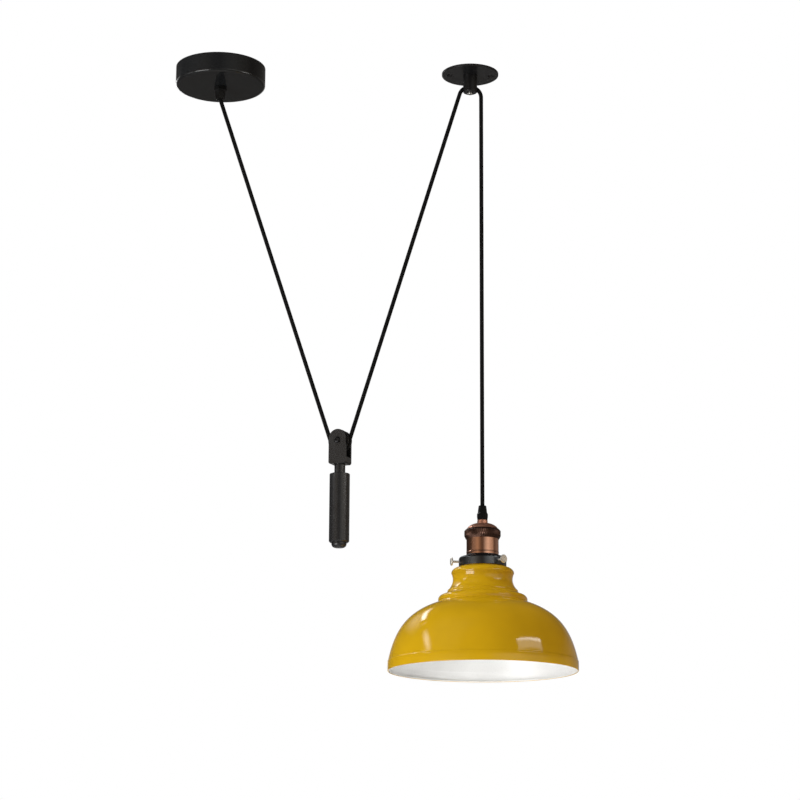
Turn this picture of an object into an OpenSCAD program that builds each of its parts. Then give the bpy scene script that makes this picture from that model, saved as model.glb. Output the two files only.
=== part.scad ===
// Rise and fall pendant. A fabric-covered cord leaves a ceiling rose, passes under the
// pulley of a hanging counterweight, climbs over a boss on a small ceiling plate and
// drops to a lamp with a metal lampholder, a three-screw gallery and a domed shade.
// Millimetres, +Z up. The origin is the centre of the rose's ceiling face, X runs from
// the rose to the ceiling plate, and the whole pendant hangs in the XZ plane.

/* [Layout] */
// Distance from the rose's axis to the ceiling plate's axis
plate_x = 348; // [335:0.5:380]
// Distance from the rose's axis to the counterweight's axis
block_x = 172; // [150:1:185]
// Depth of the pulley's axle below the ceiling
axle_drop = 529; // [350:1:650]
// Turn of the pulley block about its stem, front cheek towards the rose
block_yaw = 26; // [0:1:28]
// Depth of the top of the lamp's cord grip below the ceiling
lamp_drop = 614.5; // [420:0.5:700]

/* [Cord] */
// Outside diameter of the fabric-covered cord
cord_d = 5.6; // [5:0.1:5.6]
// Diameter of one insulated core inside the cord
core_d = 2; // [1.6:0.1:2.2]
// Radius of the cord's centreline where it bends through the boss
bend_r = 15.3; // [15:0.1:16]
// Depth of that bend's centre below the ceiling
bend_drop = 34.7; // [34:0.1:35.5]

/* [Rose] */
// Diameter of the rose cover
rose_d = 124; // [118:1:140]
// Height of the rose cover
rose_h = 27.5; // [27:0.5:32]
// Thickness of the rose cover's sheet
rose_wall = 1.2; // [0.8:0.1:1.6]
// Outside radius of the rose cover's lower edge
rose_edge_r = 3.5; // [2:0.5:6]
// Distance between the bracket's two ceiling slots
bracket_slot_spacing = 90; // [84:1:92]
// Width of each ceiling slot
bracket_slot_w = 5; // [4:0.5:6]
// End-to-end length of each ceiling slot
bracket_slot_l = 12; // [8:1:12]

/* [Cord grips] */
// Length of the rose's cord grip outside its thread
rose_grip_l = 18.3; // [17:0.1:22]
// Width across corners of the rose grip's ridge
rose_grip_d = 17.6; // [16:0.1:18]
// Length of the lamp's cord grip outside its thread
lamp_grip_l = 19.8; // [18:0.1:22]
// Width across corners of the lamp grip's ridge
lamp_grip_d = 14.6; // [14.2:0.1:16]
// Diameter of the grips' threaded spigots
spigot_d = 9.8; // [9:0.1:10]

/* [Ceiling plate] */
// Diameter of the ceiling plate
plate_d = 79; // [74:1:90]
// Thickness of the ceiling plate
plate_t = 3; // [2.5:0.5:3]
// Distance between the plate's two screw holes
plate_hole_spacing = 57; // [50:1:60]
// Diameter of the plate's screw holes
plate_hole_d = 4.5; // [4:0.1:5]
// Diameter of the boss
boss_d = 19.5; // [18:0.5:20]
// Depth of the boss's lower face below the ceiling
boss_drop = 28; // [28:0.1:29]
// Diameter of the curved cord passage through the boss
passage_d = 6.2; // [6.1:0.1:6.2]
// Thread diameter of the boss's two screws
boss_screw_d = 4; // [3:0.5:4]

/* [Counterweight] */
// Width of the pulley block's cheeks
yoke_w = 25; // [24:0.5:30]
// Outside depth of the pulley block, cheek to cheek
yoke_depth = 19.4; // [19:0.1:22]
// Thickness of each cheek
cheek_t = 3.2; // [2.5:0.1:3.2]
// Height of the cheeks' top above the axle
yoke_top = 15; // [15:0.5:18]
// Depth of the block's base below the axle
yoke_bottom = 32; // [30:0.5:36]
// Height of the block's solid base
yoke_base_h = 9; // [7:0.5:10]
// Radius of the cord's centreline round the pulley
pitch_r = 13; // [12.8:0.1:13.2]
// Radius of the pulley's flanges
sheave_r = 15; // [14.5:0.1:15]
// Width of the pulley
sheave_w = 11.2; // [10.8:0.1:11.2]
// Diameter of the axle
axle_d = 5; // [4:0.5:5]
// Diameter of the stem between block and weight
stem_d = 14.6; // [12:0.1:16]
// Length of the stem between block and weight
stem_l = 13; // [10:0.5:16]
// Diameter of the weight
weight_d = 27.2; // [24:0.1:34]
// Length of the weight
weight_l = 93; // [80:1:120]
// Diameter of the weight's end cap
end_cap_d = 20.3; // [18:0.1:22]
// Length of the weight's end cap
end_cap_l = 7; // [6:0.5:10]

/* [Lampholder] */
// Diameter of the lampholder's copper body
holder_d = 43; // [43:0.1:44]
// Diameter of the knurled ring
ring_d = 48.6; // [47:0.1:52]
// Inside diameter of the screw shell that takes the bulb
socket_d = 26.8; // [26.6:0.1:27]
// Outside diameter of the gallery
gallery_d = 63.4; // [63:0.1:64]
// Diameter of each thumb screw's disc
thumb_d = 11.2; // [9:0.1:12]
// Thread diameter of each thumb screw
thumb_stem_d = 3; // [2.5:0.5:3]
// Direction of the first thumb screw, degrees from +X
thumb_azimuth = 187; // [0:1:359]

/* [Shade] */
// Outside diameter of the shade at its rim band
shade_d = 252; // [240:1:280]
// Thickness of the shade's metal
shade_wall = 1; // [0.8:0.1:1.2]
// Outside diameter of the neck that the thumb screws grip
neck_d = 57.2; // [57:0.1:57.4]
// Outside diameter of the shoulder under the gallery
shoulder_d = 83.6; // [80:0.2:88]
// Outside diameter of the waist
waist_d = 79.4; // [76:0.2:82]
// Outside diameter of the upper step
upper_step_d = 94; // [92:0.5:98]
// Outside diameter of the lower step
lower_step_d = 118.6; // [116:0.2:122]

/* [Hidden] */
$fn = 64;

// Gaps between pieces
slide_gap = 0.05;      // round a shank in its thread or a pin in its hole
cord_gap = 0.1;        // round the cord in a grip
body_gap = 0.3;        // between pieces that move past each other
leg_gap = 0.5;         // between a cord leg and the bend that it runs into

cord_r = cord_d / 2;
lamp_x = plate_x + bend_r;

// Cord grips: a hexagon with a ridge, then a taper to the cord's mouth. The widths of
// foot, shoulder and mouth are parts of the ridge's.
grip_foot = 0.91;
grip_shoulder = 0.86;
grip_mouth = 0.71;
grip_bevel_l = 1.6;
grip_lip_l = 0.6;
grip_spigot_l = 7.4;
grip_flare_l = 3;
grip_flare = 1.1;
rose_grip_foot_l = 0.4;
rose_grip_ridge_l = 4.6;
rose_grip_turn = 16;
lamp_grip_foot_l = 4.1;
lamp_grip_ridge_l = 4.2;
lamp_grip_turn = 54;
rose_grip_drop = rose_h + rose_grip_l;

// Where the cord leaves the rose's grip
anchor_drop = rose_grip_drop - 0.8;

// The left leg lies along the tangent from the grip's mouth to the pulley, the right leg
// along the tangent from the pulley to the bend in the boss. Both pulley tangents are
// worked out in the pulley's own plane, which is turned by block_yaw.
left_lean = tangent_lean(block_x * cos(block_yaw), axle_drop - anchor_drop, pitch_r);
right_lean = tangent_lean((plate_x - bend_r - block_x) * cos(block_yaw),
                          axle_drop - bend_drop, pitch_r);
left_touch = on_block(-pitch_r * cos(left_lean), -pitch_r * sin(left_lean));
right_touch = on_block(pitch_r * cos(right_lean), -pitch_r * sin(right_lean));
boss_lean = tangent_lean(plate_x - right_touch.x, -bend_drop - right_touch.z, bend_r);
boss_touch = [plate_x - bend_r * cos(boss_lean), 0, bend_r * sin(boss_lean) - bend_drop];
anchor = [0, 0, -anchor_drop];

// Rose bracket, terminal block and their screws
bracket_t = 1.5;
bracket_w = 20;
bracket_ear_x = rose_d / 2 - rose_wall - 1.3;
bracket_ear_w = 16;
bracket_ear_h = 15;
side_screw_drop = 9;
side_screw_d = 4;
side_screw_l = 5.5;
side_screw_socket_d = 2.2;
block_start_x = 16;
block_len = 20;
block_width = 18;
barrel_r = 3.6;
barrel_y = 4;
barrel_drop = 9;
barrel_screw_x = [4.5, 15.5];
barrel_bore_r = 1.4;
barrel_web = 4.8;
block_base_t = 3;
screw_tower_r = 2.8;
screw_tower_h = 6;
screw_hole_r = 1.7;
terminal_screw_r = 1.65;
terminal_screw_l = 4;
screw_slot = 0.6;
rose_nut_r = 8.1;
rose_nut_h = 3.5;
tail_bend_r = 9;
tail_end_x = 11;
wire_y = 1.2;
wire_straight = 3;

// Ceiling plate and boss
countersink_d = 9.2;
countersink_h = 2.4;
plate_edge = 1;
boss_edge = 1.5;
fixing_screw_l = 12.5;
fixing_head_drop = 0.2;   // how far the countersunk head sits below the ceiling face
fixing_head_h = 1.8;
fixing_head = 1.85;       // the head's radius as a multiple of the shank's
cross_w = 0.9;
cross_l = 4.2;
cross_depth = 1.3;
clamp_tip_drop = bend_drop - bend_r + cord_r + body_gap;
clamp_head_d = 7.5;
clamp_head_h = 2.5;

// Pulley block, axle and weight
yoke_corner_r = 2.8;
groove_r = 3.9;
groove_centre_r = 13.9;
flare_half_w = 5.4;
bush_r = 4;
bolt_head_d = 8.7;
bolt_head_h = 2.8;
bolt_socket_d = 3.6;
bolt_socket_h = 1.8;
axle_nut_r = 4.6;
axle_nut_h = 4;
axle_tail = 0.6;
washer_r = 5.5;
washer_t = 0.6;
upper_stud_d = 6;
lower_stud_d = 8;
upper_stud_l = 8;
lower_stud_l = 15;
cap_stud_l = 12;
weight_edge = 1.5;
end_cap_edge = 5;
gap_half = yoke_depth / 2 - cheek_t;
weight_top = axle_drop + yoke_bottom + stem_l;

// Lampholder, from the foot of the lamp's cord grip downwards
grip_foot_drop = lamp_drop + lamp_grip_l;
cap_neck_r = 7;
cap_dome_drop = grip_foot_drop + 13.7;
cap_dome_h = 10;
cap_wall = 1;
cap_r = 21;
body_top_drop = cap_dome_drop + 1.6;
body_bottom_drop = grip_foot_drop + 47.4;
body_wall = 0.8;
ring_top_drop = cap_dome_drop - 1.3;
ring_h = 13.5;
ring_lip = 0.6;
ring_top_bevel = 2.4;
ring_foot_bevel = 3.9;
ring_foot_in = 2;
bead_rise = 3.4;
bead_proud = 0.3;
bead_half_h = 0.8;
insulator_r = 20.4;
insulator_top_drop = body_top_drop + 2;
insulator_neck_r = 17.4;
insulator_bottom_drop = body_bottom_drop + 9.4;
cavity_r = 14.3;
shell_wall = 0.8;
shell_seat_h = 3.5;
shell_seat_r = 9;
shell_top_drop = insulator_top_drop + 8;
shell_bottom_drop = insulator_bottom_drop - 2.2;
terminal_x = 9;
socket_screw_r = 1.5;
socket_screw_in = 2.8;
socket_screw_head_r = 2.7;
socket_screw_head_h = 2.4;
wire_end_rise = 4.4;
contact_l = 8;
contact_w = 5;
contact_t = 0.8;
contact_pad_r = 3;
contact_pad_h = 3;
gallery_wall = 1.2;
gallery_top_drop = body_bottom_drop + 0.1;
gallery_bottom_drop = gallery_top_drop + 15.4;
gallery_hole_r = 17.6;
gallery_corner_r = 3.5;
gallery_neck_h = 2.6;
gallery_neck_r = holder_d / 2 + 0.7;
gallery_step_w = 0.5;
gallery_step_h = 1.4;
gallery_neck_foot = 2;
gallery_ring_r = 21;
gallery_ring_h = 4;
spanner_notch = 3;
spanner_notch_w = 4;
thumb_drop = gallery_top_drop + 9.7;
thumb_tip_r = neck_d / 2 + body_gap;
thumb_face_r = 40.8;
thumb_t = 2.4;
thumb_edge = 0.8;

// Shade: depths of its features below the ceiling, measured down from the gallery
neck_top_drop = gallery_top_drop + 5;
neck_foot_drop = gallery_bottom_drop + 0.7;
shoulder_drop = gallery_bottom_drop + 9.3;
waist_drop = shoulder_drop + 8.3;
upper_step_drop = shoulder_drop + 24.4;
lower_step_drop = shoulder_drop + 35.6;
dome_top_drop = shoulder_drop + 39.7;
band_drop = shoulder_drop + 117;
rim_drop = band_drop + 12.9;
shoulder_depth = 10.4;
shoulder_rise = 7.8;
neck_fillet = 1.4;
waist_step = 2.1;
ledge = 0.8;
ledge_drop = 2;
upper_step_r = 3;
lower_step_r = 6.4;
dome_fillet = 2.5;
band_proud = 0.5;
hem_h = 2.4;
hem_wall = 1.9;
rim_edge = 0.8;
dome_start_lean = 12.3;
dome_start_pull = 38.7;
dome_end_lean = 18.4;
dome_end_pull = 45;

// ---- Helpers ----

// Lean from the vertical of the straight line that leaves a circle of radius r and
// passes outside a point dx away and dz above its centre
function tangent_lean(dx, dz, r) = atan(dx / dz) - asin(r / sqrt(dx * dx + dz * dz));

// A point of the pulley's plane, x along it and z above the axle
function on_block(x, z) =
    [block_x + x * cos(block_yaw), -x * sin(block_yaw), z - axle_drop];

function arc(cx, cy, r, from, to, steps = 8) =
    [for (i = [0 : steps]) let (a = from + (to - from) * i / steps)
        [cx + r * cos(a), cy + r * sin(a)]];

function ellipse_arc(cx, cy, rx, ry, from, to, steps = 12) =
    [for (i = [0 : steps]) let (a = from + (to - from) * i / steps)
        [cx + rx * cos(a), cy + ry * sin(a)]];

function bezier(p0, p1, p2, p3, steps = 26) =
    [for (i = [0 : steps]) let (t = i / steps, u = 1 - t)
        u * u * u * p0 + 3 * u * u * t * p1 + 3 * u * t * t * p2 + t * t * t * p3];

// Unit normal of a line of points, on the side of falling x for a line that runs down
function side_normal(pts, i) =
    let (a = pts[max(i - 1, 0)], b = pts[min(i + 1, len(pts) - 1)], d = b - a)
    [d.y, -d.x] / norm(d);

function inset(pts, t) = [for (i = [0 : len(pts) - 1]) pts[i] + t * side_normal(pts, i)];

function reversed(pts) = [for (i = [len(pts) - 1 : -1 : 0]) pts[i]];

module rod(from, to, r) {
    d = to - from;
    translate(from)
        rotate([0, acos(d.z / norm(d)), atan2(d.y, d.x)])
            cylinder(h = norm(d), r = r);
}

// A cylinder that hangs down from a depth below the ceiling
module drop_cylinder(top, h, r) {
    translate([0, 0, -top - h]) cylinder(h = h, r = r);
}

module at_plate() {
    translate([plate_x, 0, 0]) children();
}

module at_lamp() {
    translate([lamp_x, 0, 0]) children();
}

// The pulley block's own frame: X along the cheeks, Y from front to back, Z up
module at_block() {
    translate([block_x, 0, -axle_drop]) rotate([0, 0, -block_yaw]) children();
}

module at_counterweight() {
    translate([block_x, 0, 0]) rotate([0, 0, -block_yaw]) children();
}

// A bend of cord in the XZ plane of the current frame, angles from +X towards +Z
module cord_bend(radius, from, to) {
    rotate([90, 0, 0]) rotate([0, 0, from])
        rotate_extrude(angle = to - from, $fn = 96)
            translate([radius, 0]) circle(r = cord_r, $fn = 24);
}

// Profile of a screw head with a rounded edge, its seat at z = 0 and its face below
function pan_head(r, h, edge_w, rim_h) =
    concat([[0, 0], [0, -h]],
           ellipse_arc(r - edge_w, -rim_h, edge_w, h - rim_h, -90, 0, 6),
           [[r, 0]]);

// A cross cut into a screw's face at z = 0, from either side
module cross_recess() {
    for (a = [0, 90])
        rotate([0, 0, a]) cube([cross_l, cross_w, 2 * cross_depth], center = true);
}

// ---- Ceiling rose ----

module rose_cover() {
    r = rose_d / 2;
    inner_edge_r = rose_edge_r - rose_wall;
    outside = arc(r - rose_edge_r, rose_edge_r - rose_h, rose_edge_r, -90, 0);
    inside = arc(r - rose_edge_r, rose_edge_r - rose_h, inner_edge_r, 0, -90);
    color([0.13, 0.13, 0.13])
        difference() {
            rotate_extrude($fn = 128)
                polygon(concat([[0, -rose_h]], outside, [[r, 0], [r - rose_wall, 0]],
                               inside, [[0, rose_wall - rose_h]]));
            translate([0, 0, -rose_h - 1])
                cylinder(h = rose_wall + 2, d = spigot_d + 2 * slide_gap);
            for (side = [-1, 1])
                translate([side * r, 0, -side_screw_drop])
                    rotate([0, 90, 0])
                        cylinder(h = 6, d = side_screw_d + 2 * slide_gap, center = true);
        }
}

module rose_bracket() {
    ear_t = bracket_t;
    color([0.72, 0.72, 0.7])
        difference() {
            union() {
                translate([-bracket_ear_x, -bracket_w / 2, -bracket_t])
                    cube([2 * bracket_ear_x, bracket_w, bracket_t]);
                for (side = [-1, 1])
                    translate([side * (bracket_ear_x - ear_t / 2), 0, -bracket_ear_h / 2])
                        cube([ear_t, bracket_ear_w, bracket_ear_h], center = true);
            }
            for (side = [-1, 1]) {
                translate([side * bracket_slot_spacing / 2, 0, -bracket_t - 1])
                    bracket_slot();
                translate([side * bracket_ear_x, 0, -side_screw_drop])
                    rotate([0, 90, 0])
                        cylinder(h = 6, d = side_screw_d + 2 * slide_gap, center = true);
            }
        }
}

module bracket_slot() {
    run = bracket_slot_l - bracket_slot_w;
    h = bracket_t + 2;
    for (side = [-1, 1])
        translate([side * run / 2, 0, 0]) cylinder(h = h, d = bracket_slot_w);
    translate([-run / 2, -bracket_slot_w / 2, 0]) cube([run, bracket_slot_w, h]);
}

module rose_side_screws() {
    color([0.2, 0.2, 0.2])
        for (side = [-1, 1])
            translate([side * (rose_d / 2 - 0.1), 0, -side_screw_drop])
                rotate([0, -side * 90, 0])
                    difference() {
                        cylinder(h = side_screw_l, d = side_screw_d);
                        translate([0, 0, -1])
                            cylinder(h = 3, d = side_screw_socket_d, $fn = 6);
                    }
}

module terminal_block() {
    color([0.9, 0.9, 0.87])
        translate([block_start_x, 0, 0])
            difference() {
                union() {
                    translate([0, -block_width / 2, -bracket_t - block_base_t])
                        cube([block_len, block_width, block_base_t]);
                    for (side = [-1, 1]) {
                        translate([0, side * barrel_y, -barrel_drop])
                            rotate([0, 90, 0]) cylinder(h = block_len, r = barrel_r);
                        translate([0, side * barrel_y - barrel_web / 2, -barrel_drop])
                            cube([block_len, barrel_web, barrel_drop - bracket_t - 1]);
                        for (x = barrel_screw_x)
                            translate([x, side * barrel_y, -barrel_drop - screw_tower_h])
                                cylinder(h = screw_tower_h, r = screw_tower_r);
                    }
                }
                for (side = [-1, 1]) {
                    translate([-1, side * barrel_y, -barrel_drop])
                        rotate([0, 90, 0]) cylinder(h = block_len + 2, r = barrel_bore_r);
                    for (x = barrel_screw_x)
                        translate([x, side * barrel_y, -barrel_drop - screw_tower_h - 1])
                            cylinder(h = screw_tower_h + 1, r = screw_hole_r);
                }
            }
}

module terminal_screws() {
    color([0.78, 0.62, 0.3])
        for (side = [-1, 1], x = barrel_screw_x)
            translate([block_start_x + x, side * barrel_y,
                       1 - barrel_drop - screw_tower_h])
                difference() {
                    cylinder(h = terminal_screw_l, r = terminal_screw_r);
                    cube([3 * terminal_screw_r, screw_slot, 1], center = true);
                }
}

// A hexagonal cord grip that points down from its foot at z = 0, with its spigot
// standing up
module cord_grip(d, l, foot_l, ridge_l) {
    r = d / 2;
    shoulder_z = -foot_l - ridge_l - grip_bevel_l;
    difference() {
        union() {
            rotate_extrude($fn = 6)
                polygon([[0, 0], [grip_foot * r, 0], [r, -foot_l], [r, -foot_l - ridge_l],
                         [grip_shoulder * r, shoulder_z],
                         [grip_mouth * r, grip_lip_l - l],
                         [grip_mouth * r - grip_lip_l, -l], [0, -l]]);
            cylinder(h = grip_spigot_l, d = spigot_d);
        }
        translate([0, 0, -l - 1])
            cylinder(h = l + grip_spigot_l + 2, r = cord_r + cord_gap);
        translate([0, 0, -l])
            cylinder(h = grip_flare_l, r1 = cord_r + grip_flare, r2 = cord_r + cord_gap);
    }
}

module rose_cord_grip() {
    color([0.06, 0.06, 0.06])
        translate([0, 0, -rose_h])
            rotate([0, 0, rose_grip_turn])
                cord_grip(rose_grip_d, rose_grip_l, rose_grip_foot_l, rose_grip_ridge_l);
}

module rose_grip_nut() {
    color([0.75, 0.75, 0.73])
        translate([0, 0, rose_wall - rose_h])
            difference() {
                cylinder(h = rose_nut_h, r = rose_nut_r, $fn = 6);
                translate([0, 0, -1])
                    cylinder(h = rose_nut_h + 2, d = spigot_d + 2 * slide_gap);
            }
}

// ---- Ceiling plate and boss ----

module ceiling_plate() {
    r = plate_d / 2;
    fixing_r = boss_screw_d / 2;
    color([0.13, 0.13, 0.13])
        at_plate()
            difference() {
                rotate_extrude($fn = 128)
                    polygon(concat([[0, 0], [0, -plate_t]],
                                   arc(r - plate_edge, plate_edge - plate_t, plate_edge,
                                       -90, 0, 4),
                                   [[r, 0]]));
                for (side = [-1, 1])
                    translate([side * plate_hole_spacing / 2, 0, 0]) {
                        translate([0, 0, -plate_t - 1])
                            cylinder(h = plate_t + 2, d = plate_hole_d);
                        translate([0, 0, -plate_t - 0.01])
                            cylinder(h = countersink_h, d1 = countersink_d,
                                     d2 = plate_hole_d);
                    }
                translate([0, 0, -plate_t - 1])
                    cylinder(h = plate_t + 2, r = fixing_r + slide_gap);
                translate([0, 0, -fixing_head_drop - fixing_head_h])
                    cylinder(h = fixing_head_drop + fixing_head_h + 0.01,
                             r1 = fixing_r + slide_gap, r2 = 2 * fixing_r);
            }
}

module plate_boss() {
    r = boss_d / 2;
    color([0.13, 0.13, 0.13])
        at_plate()
            difference() {
                rotate_extrude()
                    polygon(concat([[0, -plate_t], [0, -boss_drop]],
                                   arc(r - boss_edge, boss_edge - boss_drop, boss_edge,
                                       -90, 0, 5),
                                   [[r, -plate_t]]));
                translate([0, 0, -bend_drop])
                    rotate([90, 0, 0])
                        rotate_extrude($fn = 96)
                            translate([bend_r, 0]) circle(d = passage_d, $fn = 32);
                drop_cylinder(plate_t - 1, fixing_screw_l - plate_t + 2,
                              boss_screw_d / 2 + slide_gap);
                drop_cylinder(bend_drop - bend_r, boss_drop - bend_drop + bend_r + 1,
                              boss_screw_d / 2 + slide_gap);
            }
}

module boss_fixing_screw() {
    r = boss_screw_d / 2;
    color([0.72, 0.72, 0.72])
        at_plate()
            difference() {
                union() {
                    drop_cylinder(fixing_head_drop, fixing_screw_l - fixing_head_drop, r);
                    translate([0, 0, -fixing_head_drop - fixing_head_h])
                        cylinder(h = fixing_head_h, r1 = r, r2 = fixing_head * r);
                }
                cross_recess();
            }
}

module cord_clamp_screw() {
    r = boss_screw_d / 2;
    head_r = clamp_head_d / 2;
    head_top = boss_drop + body_gap;
    color([0.8, 0.8, 0.78])
        at_plate()
            difference() {
                union() {
                    drop_cylinder(clamp_tip_drop, head_top - clamp_tip_drop + 1, r);
                    translate([0, 0, -head_top])
                        rotate_extrude()
                            polygon(pan_head(head_r, clamp_head_h, 2, 1));
                }
                translate([0, 0, -head_top - clamp_head_h]) cross_recess();
            }
}

// ---- Cord ----

module cord_tail_in_rose() {
    bend_top = -barrel_drop;
    start = tail_bend_r - bend_top;
    color([0.05, 0.05, 0.05]) {
        drop_cylinder(start, anchor_drop - 1 - start, cord_r);
        translate([tail_bend_r, 0, bend_top - tail_bend_r])
            cord_bend(tail_bend_r, 90, 180);
        translate([tail_bend_r, 0, bend_top])
            rotate([0, 90, 0]) cylinder(h = tail_end_x - tail_bend_r, r = cord_r);
    }
    color([0.45, 0.25, 0.12])
        for (side = [-1, 1]) {
            rod([tail_end_x - 0.2, side * wire_y, bend_top],
                [block_start_x - 0.8, side * barrel_y, bend_top], core_d / 2);
            rod([block_start_x - 1.3, side * barrel_y, bend_top],
                [block_start_x + wire_straight, side * barrel_y, bend_top], core_d / 2);
        }
}

module cord_left_leg() {
    d = left_touch - anchor;
    color([0.05, 0.05, 0.05])
        rod(anchor, left_touch - leg_gap * d / norm(d), cord_r);
}

module cord_sheave_wrap() {
    color([0.05, 0.05, 0.05])
        at_block() cord_bend(pitch_r, 180 + left_lean, 360 - right_lean);
}

module cord_right_leg() {
    d = boss_touch - right_touch;
    gap = leg_gap * d / norm(d);
    color([0.05, 0.05, 0.05])
        rod(right_touch + gap, boss_touch - gap, cord_r);
}

module cord_over_boss() {
    color([0.05, 0.05, 0.05])
        at_plate()
            translate([0, 0, -bend_drop]) cord_bend(bend_r, 0, 180 - boss_lean);
}

module cord_lamp_drop() {
    color([0.05, 0.05, 0.05])
        at_lamp() drop_cylinder(bend_drop, lamp_drop - body_gap - bend_drop, cord_r);
}

module cord_tail_in_lamp() {
    sheath_end = grip_foot_drop + grip_spigot_l + 1;
    color([0.05, 0.05, 0.05])
        at_lamp() drop_cylinder(lamp_drop, sheath_end - lamp_drop, cord_r);
    color([0.45, 0.25, 0.12])
        at_lamp()
            for (side = [-1, 1])
                rod([side * wire_y, 0, 0.2 - sheath_end],
                    [side * terminal_x, 0, wire_end_rise - insulator_top_drop],
                    core_d / 2);
}

// ---- Counterweight ----

module cheek_outline() {
    arch_r = yoke_w / 2;
    foot_x = arch_r - yoke_corner_r;
    translate([0, yoke_top - arch_r]) circle(r = arch_r);
    translate([-arch_r, yoke_corner_r - yoke_bottom])
        square([yoke_w, yoke_bottom + yoke_top - arch_r - yoke_corner_r]);
    translate([-foot_x, -yoke_bottom]) square([2 * foot_x, yoke_corner_r + 1]);
    for (side = [-1, 1])
        translate([side * foot_x, yoke_corner_r - yoke_bottom]) circle(r = yoke_corner_r);
}

module yoke() {
    color([0.15, 0.15, 0.15])
        at_block()
            difference() {
                translate([0, yoke_depth / 2, 0])
                    rotate([90, 0, 0]) linear_extrude(yoke_depth) cheek_outline();
                translate([-yoke_w, -gap_half, yoke_base_h - yoke_bottom])
                    cube([2 * yoke_w, 2 * gap_half, yoke_bottom + yoke_top]);
                rotate([90, 0, 0])
                    cylinder(h = yoke_depth + 2, d = axle_d + 2 * slide_gap, center = true);
                translate([0, 0, -yoke_bottom - 1])
                    cylinder(h = yoke_base_h + 2, d = upper_stud_d + 2 * slide_gap);
            }
}

module sheave() {
    half = sheave_w / 2;
    color([0.1, 0.1, 0.1])
        at_block()
            rotate([90, 0, 0])
                rotate_extrude($fn = 96)
                    difference() {
                        translate([bush_r + 0.01, -half])
                            square([sheave_r - bush_r - 0.01, sheave_w]);
                        translate([groove_centre_r, 0]) circle(r = groove_r);
                        polygon([[groove_centre_r, -groove_r], [sheave_r + 1, -flare_half_w],
                                 [sheave_r + 1, flare_half_w], [groove_centre_r, groove_r]]);
                    }
}

module sheave_bush() {
    w = sheave_w + 0.4;
    color([0.72, 0.52, 0.3])
        at_block()
            rotate([90, 0, 0])
                difference() {
                    cylinder(h = w, r = bush_r, center = true);
                    cylinder(h = w + 2, d = axle_d + 2 * slide_gap, center = true);
                }
}

module axle_bolt() {
    head_r = bolt_head_d / 2;
    shank_l = yoke_depth + axle_nut_h + axle_tail;
    color([0.2, 0.2, 0.2])
        at_block()
            translate([0, -yoke_depth / 2, 0])
                rotate([-90, 0, 0])
                    difference() {
                        union() {
                            translate([0, 0, -0.5]) cylinder(h = shank_l + 0.5, d = axle_d);
                            rotate_extrude()
                                polygon(pan_head(head_r, bolt_head_h, 2.2, 0.8));
                        }
                        translate([0, 0, -bolt_head_h - 1])
                            cylinder(h = bolt_socket_h + 1, d = bolt_socket_d, $fn = 6);
                    }
}

module axle_nut() {
    color([0.2, 0.2, 0.2])
        at_block()
            translate([0, yoke_depth / 2, 0])
                rotate([-90, 0, 0])
                    difference() {
                        cylinder(h = axle_nut_h, r = axle_nut_r, $fn = 6);
                        translate([0, 0, -1])
                            cylinder(h = axle_nut_h + 2, d = axle_d + 2 * slide_gap);
                    }
}

module axle_washers() {
    color([0.75, 0.75, 0.73])
        at_block()
            for (side = [-1, 1])
                translate([0, side * (gap_half - washer_t / 2), 0])
                    rotate([90, 0, 0])
                        difference() {
                            cylinder(h = washer_t, r = washer_r, center = true);
                            cylinder(h = washer_t + 2, d = axle_d + 4 * slide_gap,
                                     center = true);
                        }
}

module stem() {
    top = axle_drop + yoke_bottom;
    color([0.15, 0.15, 0.15])
        at_counterweight() {
            drop_cylinder(top, stem_l, stem_d / 2);
            drop_cylinder(top - upper_stud_l, upper_stud_l + 1, upper_stud_d / 2);
            drop_cylinder(weight_top - 1, lower_stud_l + 1, lower_stud_d / 2);
        }
}

module weight_cylinder() {
    r = weight_d / 2;
    color([0.15, 0.15, 0.15])
        at_counterweight()
            difference() {
                rotate_extrude($fn = 96)
                    polygon([[0, -weight_top], [0, -weight_top - weight_l],
                             [r - weight_edge, -weight_top - weight_l],
                             [r, weight_edge - weight_top - weight_l],
                             [r, -weight_top - 0.5], [r - 0.5, -weight_top]]);
                drop_cylinder(weight_top - 1, lower_stud_l + 2,
                              lower_stud_d / 2 + slide_gap);
                drop_cylinder(weight_top + weight_l - cap_stud_l - 1, cap_stud_l + 2,
                              lower_stud_d / 2 + slide_gap);
            }
}

module weight_end_cap() {
    r = end_cap_d / 2;
    top = weight_top + weight_l;
    color([0.2, 0.2, 0.2])
        at_counterweight() {
            translate([0, 0, -top])
                rotate_extrude()
                    polygon(concat([[0, 0], [0, -end_cap_l]],
                                   arc(r - end_cap_edge, end_cap_edge - end_cap_l,
                                       end_cap_edge, -90, 0),
                                   [[r, 0]]));
            drop_cylinder(top - cap_stud_l, cap_stud_l + 1, lower_stud_d / 2);
        }
}

// ---- Lampholder ----

module lamp_cord_grip() {
    color([0.06, 0.06, 0.06])
        at_lamp()
            translate([0, 0, -grip_foot_drop])
                rotate([180, 0, lamp_grip_turn])
                    cord_grip(lamp_grip_d, lamp_grip_l, lamp_grip_foot_l,
                              lamp_grip_ridge_l);
}

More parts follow.
